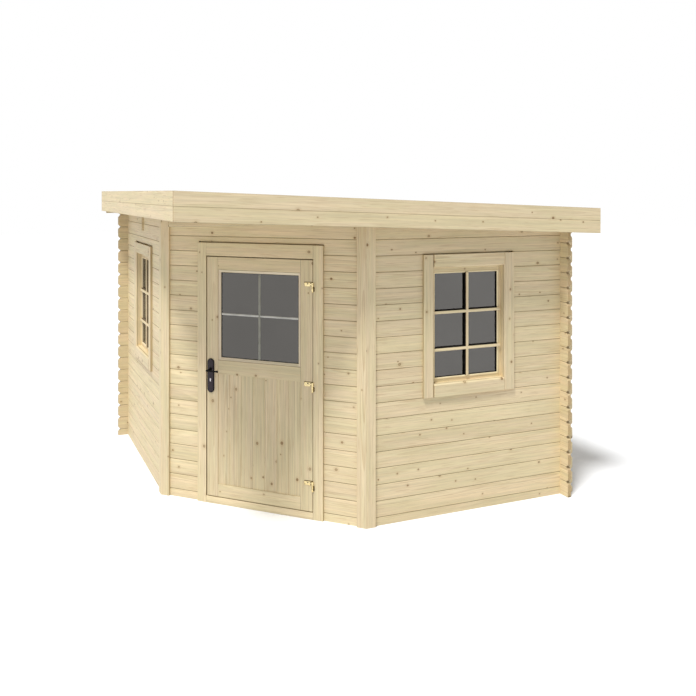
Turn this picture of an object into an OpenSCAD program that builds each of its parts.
// Corner garden shed in planed logs: a square plan with one corner cut off for the
// door, a low pent roof that stays square over the cut corner, and a window each side.
// Plan axes: X runs along the front wall, Y to the back, Z up, millimetres.

/* [Logs] */
// Height that each wall log covers
log_h = 114; // [105:1:140]
// Thickness of the wall logs
log_t = 28; // [22:1:45]
// Depth of the V groove at each joint between logs
log_groove = 4; // [2:0.5:6]
// How far the log ends stand out past the crossing wall
log_tip = 90; // [60:1:120]
// Chamfer on the corners of each log end
tip_chamfer = 21; // [6:1:24]

/* [Plan] */
// Outside length of the back wall and of the right wall, face to face
side = 2860; // [2600:10:3600]
// Length taken off the front and left walls by the door corner
corner_cut = 1173; // [1000:1:1450]
// Whole logs in the high left wall
high_logs = 20; // [20:1:22]

/* [Roof] */
// Roof overhang past the front and left walls
eave_front = 220; // [120:1:300]
// Roof overhang past the back and right walls
eave_back = 172; // [120:1:300]
// How much thinner the back wall's top log is cut under the eave
eave_cut = 20; // [0:1:40]
// Thickness of the roof boards
deck_t = 18; // [15:1:24]
// Width that one roof board covers
deck_board_w = 95; // [80:1:140]
// Height of one fascia board, of which each side has two
fascia_board_h = 95; // [80:1:110]
// Thickness of the fascia boards
fascia_t = 19; // [15:1:25]
// How far the fascia stands above the roof boards
fascia_rise = 29; // [10:1:45]
// Thickness of a roof beam
beam_t = 44; // [28:1:60]
// How far the back beam stands out of the walls
beam_tip = 10; // [6:1:60]
// Distance of the back beam from the outside of the back wall
beam_from_back = 845; // [600:1:1000]

/* [Door] */
// Width of the door leaf
leaf_w = 860; // [780:1:900]
// Height of the door leaf
leaf_h = 1787; // [1500:1:1850]
// Thickness of the door leaf
leaf_t = 40; // [36:1:50]
// Top of the threshold above the ground
threshold_top = 50; // [46:1:60]
// Gap under the door leaf
gap_bottom = 6; // [5:0.5:10]
// Gap between the leaf and its hinge jamb
gap_hinge = 5; // [5:0.5:8]
// Gap between the leaf and the lock jamb and head
gap_lock = 8; // [5:0.5:12]
// Visible width of a door jamb
jamb_w = 75; // [60:1:90]
// Visible height of the door head
head_h = 97; // [70:1:110]
// How far the door frame stands in front of the wall
frame_proud = 18; // [12:1:30]
// How far the door frame reaches past the inside of the wall
frame_inside = 24; // [20:1:40]
// Width of the door stop
stop_w = 14; // [10:1:20]
// Width of the door stiles
stile_w = 92; // [80:1:105]
// Height of the top rail of the door
top_rail_h = 92; // [70:1:120]
// Height of the lock rail of the door
lock_rail_h = 102; // [80:1:130]
// Height of the bottom rail of the door
bottom_rail_h = 93; // [80:1:150]
// Top of the lock rail above the ground
lock_rail_top = 1073; // [1000:1:1200]
// Visible width of the bead round the door glass
bead_w = 22; // [15:1:30]
// Number of upright boards in the door panel
panel_boards = 7; // [5:1:9]

/* [Door fittings] */
// Heights of the three hinge barrels' middles
hinge_z = [238, 941, 1651];
// Height of a hinge barrel
barrel_h = 66; // [50:1:80]
// Radius of a hinge barrel
barrel_r = 6.5; // [5:0.5:7]
// Length of a hinge arm from the pin
arm_len = 66; // [50:1:80]
// Height of a hinge arm
arm_h = 28; // [16:1:32]
// Length of the handle plates
plate_h = 254; // [220:1:280]
// Width of the handle plates
plate_w = 56; // [40:1:60]
// Height of the lever above the ground
lever_z = 1003; // [970:1:1020]
// Length of the lever from its spindle
lever_len = 100; // [70:1:120]
// Reach of the lever out from the leaf
lever_reach = 72; // [45:1:80]

/* [Windows] */
// Width over the outer window trim
window_w = 774; // [650:1:850]
// Height over the outer window trim, counted in logs
window_logs = 9; // [7:1:9]
// Bottom of the window trim, counted in logs
window_base_logs = 7.5; // [6.5:1:8.5]
// Distance from the front corner to the front window's trim
window_from_corner = 446; // [250:1:600]
// Distance from the left corner to the left window's trim
side_window_from_corner = 430; // [250:1:600]
// Width of the upright trim boards
trim_side_w = 86; // [70:1:100]
// Width of the level trim boards
trim_cross_w = 94; // [70:1:110]
// Thickness of the trim and corner boards
trim_t = 18; // [14:1:25]
// Bevel on the inner edge of the trim
trim_bevel = 10; // [4:1:12]
// Thickness of the window's frame boards
window_frame_t = 25; // [20:1:30]
// Distance from the front of the trim back to the sash
sash_back = 53; // [40:1:60]
// Visible width of the sash
sash_w = 34; // [28:1:50]
// Visible height of the sash's top rail
sash_top_h = 43; // [28:1:60]
// Thickness of the sash
sash_t = 28; // [24:1:40]
// Settling gap above the door frame and the window trims
settling_gap = 8; // [5:1:15]

/* [Corners and floor] */
// Width of the corner boards on their outer face
corner_board_w = 72; // [50:1:90]
// Width of an inner corner post along each wall
post_w = 40; // [30:1:50]
// Thickness of an inner corner post off each wall
post_t = 28; // [20:1:40]
// Thickness of the floor boards
floor_t = 18; // [15:1:24]
// Width that one floor board covers
floor_board_w = 90; // [80:1:140]
// Width of the floor bearers
bearer_w = 60; // [45:1:80]
// Number of floor bearers
bearers = 6; // [5:1:8]

/* [Hidden] */

$fn = 32;
wood = "#D8C8A0";
brass = "#C9A959";
iron = "#2B2224";
pane = "#66646480";

// Plan: corner A (front) is the origin, corner B (left) closes the door wall
left_x = -corner_cut;
right_x = side - corner_cut;
back_y = side;
door_wall_l = corner_cut * sqrt(2);
// Run of a mitre between two walls that meet at 135 degrees
mitre = tan(22.5);
// Room past a shape that a cutting tool needs
over = 40;
// Depth of the V between roof, fascia and door panel boards
board_groove = 3;

// Roof: one log of fall from the left wall to the right wall
fall = log_h / side;
roof_x0 = left_x - eave_front;
roof_x1 = right_x + eave_back;
roof_y0 = -eave_front;
roof_y1 = back_y + eave_back;
top_z = (high_logs + 2) * log_h;
fascia_h = 2 * fascia_board_h;
// Play under the roof boards
deck_seat = 0.1;
// The top course that runs on over the open corner starts here
plate_z = (high_logs - 1.5) * log_h;
beam_z = (high_logs - 2.5) * log_h;
back_beam_y = back_y - beam_from_back;
front_beam_y = corner_cut + post_w + log_t + beam_t / 2;
beam_pocket = log_t / 2;

// Door frame, placed along the door wall from corner A and out from its face
frame_w = leaf_w + gap_hinge + gap_lock + 2 * jamb_w;
frame_x0 = (door_wall_l - frame_w) / 2;
frame_x1 = frame_x0 + frame_w;
opening_x0 = frame_x0 + jamb_w;
opening_x1 = frame_x1 - jamb_w;
leaf_x0 = opening_x0 + gap_hinge;
leaf_x1 = leaf_x0 + leaf_w;
leaf_z0 = threshold_top + gap_bottom;
leaf_z1 = leaf_z0 + leaf_h;
head_z0 = leaf_z1 + gap_lock;
frame_top = head_z0 + head_h;
frame_lap = 30;
frame_back = -log_t - frame_inside;
casing_top = frame_top + settling_gap + 20;
leaf_recess = 2;
leaf_front = frame_proud - leaf_recess;
leaf_back = leaf_front - leaf_t;
stop_gap = 5;
stop_front = leaf_back - stop_gap;
// Joint between logs just under the top of the door frame
split_z = (floor(frame_top / log_h - 0.5) + 0.5) * log_h;

// Door glass, bead and panel
glass_t = 4;
glass_lap = 8;
glass_x0 = leaf_x0 + stile_w + bead_w;
glass_x1 = leaf_x1 - stile_w - bead_w;
glass_z0 = lock_rail_top + bead_w;
glass_z1 = leaf_z1 - top_rail_h - bead_w;
bead_recess = 4;
panel_recess = 6;
panel_x0 = leaf_x0 + stile_w;
panel_x1 = leaf_x1 - stile_w;

// Hinges and handle
pin_x = leaf_x0 - gap_hinge / 2;
pin_out = frame_proud + 8;
arm_t = 4;
knuckle_gap = 0.5;
lock_x = leaf_x1 - 34;
plate_t = 8;
lock_z = lever_z - 79;
plate_z0 = lever_z - 175;
neck_r = 8;
grip_r = 6.5;
neck_play = 0.3;
spindle_r = 4;
cylinder_r = 8.5;

// Windows
window_z0 = window_base_logs * log_h;
window_h = window_logs * log_h - 3;
frame_edge_x = trim_side_w - window_frame_t;
frame_edge_z = trim_cross_w - window_frame_t;
sash_front = sash_back - trim_t;
casing_t = 18;
casing_w = 50;
notch_lip = 12;
pane_back = 12;

// Floor
bearer_h = threshold_top - 4 - floor_t;
floor_z = bearer_h + floor_t;
floor_groove = 2;
bearer_gap = 8;

// Underside of the roof boards, and the top that walls and beams are cut to
function roof_under(x) = high_logs * log_h - (x - left_x) * fall;
function roof_seat(x) = roof_under(x) - deck_seat;

// ---- shared shapes ----

// An outline in X and Z, drawn out along Y
module along_y(y0, y1) translate([0, y1, 0]) rotate([90, 0, 0]) linear_extrude(y1 - y0) children();

// An outline in Y and Z, drawn out along X
module along_x(x0, x1) translate([x0, 0, 0]) rotate([90, 0, 90]) linear_extrude(x1 - x0) children();

module block(low, high) translate(low) cube(high - low);

// Places a shape drawn as (along the door wall from A, out from its face, up)
module on_door_wall() rotate(135) children();

// Places a shape drawn as (along the wall, inwards from its face, up)
module at_front_window() translate([window_from_corner, 0, window_z0]) children();
module at_left_window()
    translate([left_x, corner_cut + side_window_from_corner + window_w, window_z0])
        rotate(-90) children();

// Everything under the roof boards
module under_roof()
    along_y(roof_y0 - over, roof_y1 + over)
        polygon([[roof_x0, -over], [roof_x1, -over],
            [roof_x1, roof_seat(roof_x1)], [roof_x0, roof_seat(roof_x0)]]);

// Section of a wall: a stack of logs with a V groove at each joint, on both faces
module log_section(joints)
    polygon(concat([[0, 0]],
        [for (z = joints) each [[0, z - log_groove], [log_groove, z], [0, z + log_groove]]],
        [[0, top_z], [log_t, top_z]],
        [for (i = [len(joints) - 1:-1:0]) let (z = joints[i])
            each [[log_t, z + log_groove], [log_t - log_groove, z], [log_t, z - log_groove]]],
        [[log_t, 0]]));

// Joints of the walls that start with a half log, and of those that start with a whole one
half_joints = [for (k = [0.5:1:high_logs + 0.5]) k * log_h];
full_joints = [for (k = [1:1:high_logs + 1]) k * log_h];

// One end of a wall seen from the side, going up: each log end has two chamfers
function log_ends(at, out, joints) = concat([[at, 0]],
    [for (i = [0:len(joints) - 1]) each [
        if (i > 0) [at, joints[i - 1] + tip_chamfer],
        [at, joints[i] - tip_chamfer],
        [at - out * tip_chamfer, joints[i]]]]);

function backwards(list) = [for (i = [len(list) - 1:-1:0]) list[i]];

module side_view(left, right) polygon(concat(right, backwards(left)));

function plain_end(at, joints) = [[at, 0], [at, joints[len(joints) - 1]]];

// Where two walls cross, walls along X keep the middle half of their own logs
module x_share(x, y)
    for (k = [0:high_logs + 1])
        translate([x, y, (k - 0.25) * log_h]) cube([log_t, log_t, log_h / 2]);

// and walls along Y keep the middle half of theirs
module y_share(x, y)
    for (k = [0:high_logs + 1])
        translate([x, y, (k + 0.25) * log_h]) cube([log_t, log_t, log_h / 2]);

// Opening for a window frame, with the settling gap above the trim
module window_hole() {
    block([frame_edge_x, -over, frame_edge_z],
        [window_w - frame_edge_x, log_t + over, window_h - frame_edge_z]);
    block([0, -over, window_h - notch_lip], [window_w, log_t + over, window_h + settling_gap]);
}

module beam_slots() {
    block([left_x - over, back_beam_y - beam_t / 2, beam_z],
        [right_x + over, back_beam_y + beam_t / 2, top_z]);
    block([left_x + beam_pocket, front_beam_y - beam_t / 2, beam_z],
        [right_x - beam_pocket, front_beam_y + beam_t / 2, top_z]);
}

// ---- walls ----

module front_wall() color(wood) difference() {
    intersection() {
        along_x(roof_x0, roof_x1) log_section(half_joints);
        along_y(-1, log_t + 1) union() {
            side_view(plain_end(0, half_joints), log_ends(right_x + log_tip, 1, half_joints));
            translate([roof_x0 + fascia_t, plate_z]) square([-roof_x0 - fascia_t, top_z - plate_z]);
        }
        under_roof();
    }
    // mitre against the door wall, under the course that runs on over the corner
    linear_extrude(plate_z) polygon([[0, 0], [log_t * mitre, log_t], [-over, log_t], [-over, 0]]);
    y_share(right_x - log_t, 0);
    at_front_window() window_hole();
}

module back_wall() color(wood) difference() {
    intersection() {
        along_x(roof_x0, roof_x1) translate([back_y - log_t, 0]) log_section(half_joints);
        along_y(back_y - log_t - 1, back_y + 1) union() {
            side_view(log_ends(left_x - log_tip, -1, half_joints),
                log_ends(right_x + log_tip, 1, half_joints));
            translate([roof_x0 + fascia_t, plate_z + eave_cut])
                square([left_x - roof_x0 - fascia_t, top_z - plate_z - eave_cut]);
        }
        under_roof();
    }
    y_share(left_x, back_y - log_t);
    y_share(right_x - log_t, back_y - log_t);
}

module left_wall() color(wood) difference() {
    intersection() {
        along_y(corner_cut, back_y + log_tip) translate([left_x, 0]) log_section(full_joints);
        along_x(left_x - 1, left_x + log_t + 1)
            side_view(plain_end(corner_cut, full_joints),
                log_ends(back_y + log_tip, 1, full_joints));
        under_roof();
    }
    // mitre against the door wall
    linear_extrude(top_z) polygon([[left_x, corner_cut], [left_x + log_t, corner_cut + log_t * mitre],
        [left_x + log_t, corner_cut - over], [left_x, corner_cut - over]]);
    x_share(left_x, back_y - log_t);
    at_left_window() window_hole();
    beam_slots();
}

module right_wall() color(wood) difference() {
    intersection() {
        along_y(-log_tip, back_y + log_tip) translate([right_x - log_t, 0]) log_section(full_joints);
        along_x(right_x - log_t - 1, right_x + 1)
            side_view(log_ends(-log_tip, -1, full_joints),
                log_ends(back_y + log_tip, 1, full_joints));
        under_roof();
    }
    x_share(right_x - log_t, 0);
    x_share(right_x - log_t, back_y - log_t);
    beam_slots();
}

// The door wall from z0 to z1, mitred at both corners, its outer face starting at a distance from A
module door_wall(z0, z1, start) intersection() {
    on_door_wall() rotate([90, 0, 90]) mirror([1, 0, 0])
        linear_extrude(door_wall_l) log_section(half_joints);
    on_door_wall() translate([0, 0, z0]) linear_extrude(z1 - z0)
        polygon([[start, 0], [door_wall_l, 0], [door_wall_l - log_t * mitre, -log_t],
            [log_t * mitre, -log_t]]);
    under_roof();
}

module door_wall_hinge_side() color(wood) intersection() {
    door_wall(0, split_z, 0);
    on_door_wall() block([-over, -2 * log_t, 0], [frame_x0 + frame_lap, over, split_z]);
}

module door_wall_lock_side() color(wood) intersection() {
    door_wall(0, split_z, 0);
    on_door_wall() block([frame_x1 - frame_lap, -2 * log_t, 0], [door_wall_l + over, over, split_z]);
}

// The logs over the door, which stand behind the front wall's top course
module door_wall_over() color(wood) {
    difference() {
        door_wall(split_z, plate_z, 0);
        on_door_wall() block([frame_x0, -2 * log_t, 0], [frame_x1, over, frame_top + settling_gap]);
    }
    door_wall(plate_z, top_z, log_t * sqrt(2));
}

// ---- boards and posts at the two door corners ----

// One board against a wall that starts at a corner; the other wall turns away by 45 degrees
module corner_board(z1) linear_extrude(z1)
    polygon([[0, 0], [corner_board_w - trim_t * mitre, 0],
        [corner_board_w - trim_t * mitre, -trim_t], [-trim_t * mitre, -trim_t]]);

module front_corner_board() color(wood) intersection() {
    corner_board(top_z);
    under_roof();
}

module front_corner_board_door_side() color(wood) on_door_wall() mirror([0, 1, 0]) corner_board(plate_z);

module left_corner_board() color(wood) intersection() {
    translate([left_x, corner_cut, 0]) rotate(90) mirror([0, 1, 0]) corner_board(top_z);
    under_roof();
}

module left_corner_board_door_side() color(wood) intersection() {
    on_door_wall() translate([door_wall_l, 0, 0]) rotate(180) corner_board(top_z);
    under_roof();
}

// Outline of a post in an inner corner of 135 degrees, one wall along X
module corner_post() linear_extrude(top_z)
    polygon([[0, 0], [post_w, 0], [post_w, post_t], [post_t * mitre, post_t],
        [-post_w * cos(45) + post_t * cos(45), post_w * sin(45) + post_t * sin(45)],
        [-post_w * cos(45), post_w * sin(45)]]);

module corner_posts() color(wood) difference() {
    intersection() {
        union() {
            translate([log_t * mitre, log_t, floor_z]) corner_post();
            translate([left_x + log_t, corner_cut + log_t * mitre, floor_z])
                rotate(-45) corner_post();
        }
        under_roof();
    }
    beam_slots();
}

// ---- door frame ----

module door_jambs() color(wood) on_door_wall() {
    jamb(frame_x0, opening_x0, opening_x0 + stop_w, frame_x0 + frame_lap);
    jamb(frame_x1, opening_x1, opening_x1 - stop_w, frame_x1 - frame_lap);
}

// A grooved jamb that the logs' ends run into: outer edge, opening, stop and groove bottom
module jamb(edge, opening, stop, seat) {
    front = [min(edge, opening), max(edge, opening)];
    body = [min(seat, opening), max(seat, opening)];
    stopper = [min(seat, stop), max(seat, stop)];
    block([front[0], 0, 0], [front[1], frame_proud, frame_top]);
    block([body[0], -log_t, 0], [body[1], 0, frame_top]);
    block([front[0], frame_back, 0], [front[1], -log_t, casing_top]);
    block([stopper[0], frame_back, threshold_top], [stopper[1], stop_front, head_z0 - stop_w]);
}

module door_head() color(wood) on_door_wall() {
    block([opening_x0, -log_t, head_z0], [opening_x1, frame_proud, frame_top]);
    block([opening_x0, frame_back, head_z0], [opening_x1, -log_t, casing_top]);
    block([opening_x0, frame_back, head_z0 - stop_w], [opening_x1, stop_front, head_z0]);
}

module door_threshold() color(wood) on_door_wall()
    block([opening_x0, frame_back, 0], [opening_x1, frame_proud, threshold_top]);

// ---- door leaf ----

module door_stiles() color(wood) on_door_wall() difference() {
    for (x = [leaf_x0, leaf_x1 - stile_w])
        block([x, leaf_back, leaf_z0], [x + stile_w, leaf_front, leaf_z1]);
    lock_bores(spindle_r + 1, cylinder_r + 0.3);
}

// Bores through the leaf for the lever's spindle and the lock cylinder
module lock_bores(r_spindle, r_cylinder) {
    across_leaf(lever_z, r_spindle, leaf_back - over, leaf_front + over);
    across_leaf(lock_z, r_cylinder, leaf_back - over, leaf_front + over);
}

// A round bar across the leaf at the lock's place
module across_leaf(z, r, from, to)
    translate([lock_x, to, z]) rotate([90, 0, 0]) cylinder(r = r, h = to - from);

module door_rails() color(wood) on_door_wall() {
    rail(leaf_z1 - top_rail_h, leaf_z1);
    rail(lock_rail_top - lock_rail_h, lock_rail_top);
    rail(leaf_z0, leaf_z0 + bottom_rail_h);
}

module rail(z0, z1) block([panel_x0, leaf_back, z0], [panel_x1, leaf_front, z1]);

// Upright boards with a V groove between them, on both faces
module door_panel() color(wood) on_door_wall() {
    board_w = (panel_x1 - panel_x0) / panel_boards;
    joints = [for (i = [1:panel_boards - 1]) panel_x0 + i * board_w];
    front = leaf_front - panel_recess;
    back = leaf_back + panel_recess;
    z0 = leaf_z0 + bottom_rail_h;
    translate([0, 0, z0]) linear_extrude(lock_rail_top - lock_rail_h - z0)
        polygon(concat([[panel_x0, front], [panel_x0, back]],
            [for (x = joints) each [[x - board_groove, back], [x, back + board_groove],
                [x + board_groove, back]]],
            [[panel_x1, back], [panel_x1, front]],
            [for (x = backwards(joints)) each [[x + board_groove, front], [x, front - board_groove],
                [x - board_groove, front]]]));
}

module door_bead() color(wood) on_door_wall() difference() {
    block([panel_x0, leaf_back + bead_recess, lock_rail_top],
        [panel_x1, leaf_front - bead_recess, leaf_z1 - top_rail_h]);
    block([glass_x0, leaf_back - over, glass_z0], [glass_x1, leaf_front + over, glass_z1]);
    door_pane();
}

module door_pane() {
    middle = (leaf_front + leaf_back) / 2;
    block([glass_x0 - glass_lap, middle - glass_t / 2, glass_z0 - glass_lap],
        [glass_x1 + glass_lap, middle + glass_t / 2, glass_z1 + glass_lap]);
}

module door_glass() color(pane) on_door_wall() door_pane();

// ---- door fittings ----

// Lower half of each barrel, with its pin and a foot on the jamb
module hinge_knuckles() color(brass) on_door_wall() for (z = hinge_z) {
    translate([pin_x, pin_out, z - barrel_h / 2]) {
        cylinder(r = barrel_r, h = barrel_h / 2 - knuckle_gap / 2);
        cylinder(r = barrel_r / 2, h = barrel_h - 4);
    }
    block([opening_x0 - 14, frame_proud, z - barrel_h / 2],
        [pin_x, pin_out, z - knuckle_gap / 2]);
}

// Upper half of each barrel, with the arm that is screwed on the leaf
module hinge_arms() color(brass) on_door_wall() for (z = hinge_z) difference() {
    union() {
        translate([pin_x, pin_out, z + knuckle_gap / 2])
            cylinder(r = barrel_r, h = barrel_h / 2 - knuckle_gap / 2);
        block([pin_x, leaf_front, z + barrel_h / 2 - arm_h],
            [pin_x + barrel_r, pin_out, z + barrel_h / 2]);
        block([pin_x, leaf_front, z + barrel_h / 2 - arm_h],
            [pin_x + arm_len, leaf_front + arm_t, z + barrel_h / 2]);
    }
    translate([pin_x, pin_out, z - barrel_h / 2])
        cylinder(r = barrel_r / 2 + neck_play, h = barrel_h - 4 + neck_play);
}

module handle_plates() color(iron) on_door_wall() difference() {
    for (n = [leaf_front, leaf_back - plate_t])
        translate([0, n, 0]) plate_outline();
    lock_bores(neck_r + neck_play, cylinder_r);
}

// A long plate with round ends
module plate_outline() {
    r = plate_w / 2;
    along_y(0, plate_t) union() {
        translate([lock_x - r, plate_z0 + r]) square([plate_w, plate_h - plate_w]);
        translate([lock_x, plate_z0 + r]) circle(r);
        translate([lock_x, plate_z0 + plate_h - r]) circle(r);
    }
}

module lock_cylinder() color(brass) on_door_wall()
    across_leaf(lock_z, cylinder_r, leaf_back - plate_t - 3, leaf_front + plate_t + 3);

// Both grips and their spindle, pointing at the hinges
module door_lever() color(iron) on_door_wall() {
    across_leaf(lever_z, spindle_r, leaf_back - lever_reach, leaf_front + lever_reach);
    across_leaf(lever_z, neck_r, leaf_front + 1, leaf_front + lever_reach);
    across_leaf(lever_z, neck_r, leaf_back - lever_reach, leaf_back - 1);
    for (n = [leaf_front + lever_reach, leaf_back - lever_reach])
        translate([lock_x, n, lever_z]) {
            sphere(neck_r);
            rotate([0, -90, 0]) cylinder(r = grip_r, h = lever_len);
        }
}

// ---- windows, drawn as (along the wall, inwards, up from the trim's bottom) ----

// Upright trim boards, bevelled on their inner edge
module side_trims() for (right = [0, 1])
    translate([right * window_w, 0, 0]) mirror([right, 0, 0]) linear_extrude(window_h)
        polygon([[0, 0], [0, -trim_t], [trim_side_w - trim_bevel, -trim_t],
            [trim_side_w, trim_bevel - trim_t], [trim_side_w, 0]]);

// Level trim boards between them, bevelled the same way
module cross_trims() for (top = [0, 1])
    translate([0, 0, top * window_h]) mirror([0, 0, top])
        along_x(trim_side_w, window_w - trim_side_w)
            polygon([[0, 0], [-trim_t, 0], [-trim_t, trim_cross_w - trim_bevel],
                [trim_bevel - trim_t, trim_cross_w], [0, trim_cross_w]]);

// A frame lining the wall's opening, with a casing inside the room
module window_frame() difference() {
    union() {
        block([frame_edge_x, 0, frame_edge_z],
            [window_w - frame_edge_x, sash_front + sash_t, window_h - frame_edge_z]);
        block([frame_edge_x - casing_w, log_t, frame_edge_z - casing_w],
            [window_w - frame_edge_x + casing_w, log_t + casing_t, window_h + settling_gap + 16]);
    }
    sash_opening(0, 0);
}

// The clear opening inside the window's frame, narrowed by an edge at the sides and below, and one above
module sash_opening(edge, top_edge)
    block([trim_side_w + edge, -over, trim_cross_w + edge],
        [window_w - trim_side_w - edge, log_t + 2 * over, window_h - trim_cross_w - top_edge]);

module window_sash() difference() {
    block([trim_side_w, sash_front, trim_cross_w],
        [window_w - trim_side_w, sash_front + sash_t, window_h - trim_cross_w]);
    sash_opening(sash_w, sash_top_h);
    window_pane();
}

module window_pane()
    block([trim_side_w + sash_w - glass_lap, sash_front + pane_back, trim_cross_w + sash_w - glass_lap],
        [window_w - trim_side_w - sash_w + glass_lap, sash_front + pane_back + glass_t,
            window_h - trim_cross_w - sash_top_h + glass_lap]);

module front_window_side_trims() color(wood) at_front_window() side_trims();
module front_window_cross_trims() color(wood) at_front_window() cross_trims();
module front_window_frame() color(wood) at_front_window() window_frame();
module front_window_sash() color(wood) at_front_window() window_sash();
module front_window_glass() color(pane) at_front_window() window_pane();
module left_window_side_trims() color(wood) at_left_window() side_trims();
module left_window_cross_trims() color(wood) at_left_window() cross_trims();
module left_window_frame() color(wood) at_left_window() window_frame();
module left_window_sash() color(wood) at_left_window() window_sash();
module left_window_glass() color(pane) at_left_window() window_pane();

// ---- roof ----

// Boards laid along Y, each with a small V below
module roof_deck() color(wood) {
    x0 = roof_x0 + fascia_t;
    x1 = roof_x1 - fascia_t;
    joints = [for (x = [x0 + deck_board_w:deck_board_w:x1 - deck_board_w / 2]) x];
    along_y(roof_y0 + fascia_t, roof_y1 - fascia_t)
        polygon(concat([[x0, roof_under(x0) + deck_t], [x0, roof_under(x0)]],
            [for (x = joints) each [[x - board_groove, roof_under(x - board_groove)],
                [x, roof_under(x) + board_groove], [x + board_groove, roof_under(x + board_groove)]]],
            [[x1, roof_under(x1)], [x1, roof_under(x1) + deck_t]]));
}

module roof_beams() color(wood) intersection() {
    union() {
        block([left_x - beam_tip, back_beam_y - beam_t / 2, beam_z],
            [right_x + beam_tip, back_beam_y + beam_t / 2, top_z]);
        block([left_x + beam_pocket, front_beam_y - beam_t / 2, beam_z],
            [right_x - beam_pocket, front_beam_y + beam_t / 2, top_z]);
    }
    under_roof();
}

function fascia_top(x) = roof_under(x) + deck_t + fascia_rise;

// Section of a fascia: two boards one above the other with a V between, face at 0
module fascia_section(top) {
    joint = top - fascia_board_h;
    polygon([[0, top - fascia_h], [fascia_t, top - fascia_h], [fascia_t, top], [0, top],
        [0, joint + board_groove], [board_groove, joint], [0, joint - board_groove]]);
}

// A fascia that follows the slope: its whole face, less the groove
module sloped_fascia(y0, face) difference() {
    along_y(y0, y0 + fascia_t)
        polygon([[roof_x0, fascia_top(roof_x0) - fascia_h], [roof_x1, fascia_top(roof_x1) - fascia_h],
            [roof_x1, fascia_top(roof_x1)], [roof_x0, fascia_top(roof_x0)]]);
    cutter = board_groove * sqrt(2);
    translate([roof_x0, face, fascia_top(roof_x0) - fascia_board_h]) rotate([0, atan(fall), 0])
        translate([-over, 0, 0]) rotate([45, 0, 0])
            translate([0, -cutter / 2, -cutter / 2])
                cube([roof_x1 - roof_x0 + 2 * over, cutter, cutter]);
}

module fascia_front() color(wood) sloped_fascia(roof_y0, roof_y0);
module fascia_back() color(wood) sloped_fascia(roof_y1 - fascia_t, roof_y1);

module fascia_left() color(wood)
    along_y(roof_y0 + fascia_t, roof_y1 - fascia_t)
        translate([roof_x0, 0]) fascia_section(fascia_top(roof_x0));

module fascia_right() color(wood)
    along_y(roof_y0 + fascia_t, roof_y1 - fascia_t)
        translate([roof_x1, 0]) mirror([1, 0]) fascia_section(fascia_top(roof_x1));

// ---- floor ----

// Plan of the room inside the logs, less the door frame, drawn in by a gap
module room(gap) difference() {
    polygon([[log_t * mitre + gap * mitre, log_t + gap], [right_x - log_t - gap, log_t + gap],
        [right_x - log_t - gap, back_y - log_t - gap], [left_x + log_t + gap, back_y - log_t - gap],
        [left_x + log_t + gap, corner_cut + (log_t + gap) * mitre]]);
    rotate(135) translate([frame_x0 - gap, frame_back - gap])
        square([frame_w + 2 * gap, over - frame_back]);
}

module floor_boards() color(wood) intersection() {
    translate([0, 0, bearer_h]) linear_extrude(floor_t) room(0);
    along_y(0, back_y) floor_section();
}

// Floor boards along Y with a small V on top
module floor_section() {
    joints = [for (x = [left_x + floor_board_w:floor_board_w:right_x - floor_board_w / 2]) x];
    polygon(concat([[left_x, bearer_h], [right_x, bearer_h], [right_x, floor_z]],
        [for (x = backwards(joints)) each [[x + floor_groove, floor_z], [x, floor_z - floor_groove],
            [x - floor_groove, floor_z]]],
        [[left_x, floor_z]]));
}

module floor_bearers() color(wood) linear_extrude(bearer_h) intersection() {
    room(bearer_gap);
    pitch = (back_y - 2 * log_t - 2 * bearer_gap - bearer_w) / (bearers - 1);
    for (i = [0:bearers - 1])
        translate([left_x, log_t + bearer_gap + i * pitch]) square([side, bearer_w]);
}

// ---- the whole, with its origin under the middle of the roof ----

module placed() translate([-(roof_x0 + roof_x1) / 2, -(roof_y0 + roof_y1) / 2, 0]) children();

placed() front_wall();
placed() left_wall();
placed() back_wall();
placed() right_wall();
placed() door_wall_hinge_side();
placed() door_wall_lock_side();
placed() door_wall_over();
placed() front_corner_board();
placed() front_corner_board_door_side();
placed() left_corner_board();
placed() left_corner_board_door_side();
placed() corner_posts();
placed() door_jambs();
placed() door_head();
placed() door_threshold();
placed() door_stiles();
placed() door_rails();
placed() door_panel();
placed() door_bead();
placed() door_glass();
placed() hinge_knuckles();
placed() hinge_arms();
placed() handle_plates();
placed() lock_cylinder();
placed() door_lever();
placed() front_window_side_trims();
placed() front_window_cross_trims();
placed() front_window_frame();
placed() front_window_sash();
placed() front_window_glass();
placed() left_window_side_trims();
placed() left_window_cross_trims();
placed() left_window_frame();
placed() left_window_sash();
placed() left_window_glass();
placed() roof_deck();
placed() roof_beams();
placed() fascia_front();
placed() fascia_back();
placed() fascia_left();
placed() fascia_right();
placed() floor_boards();
placed() floor_bearers();
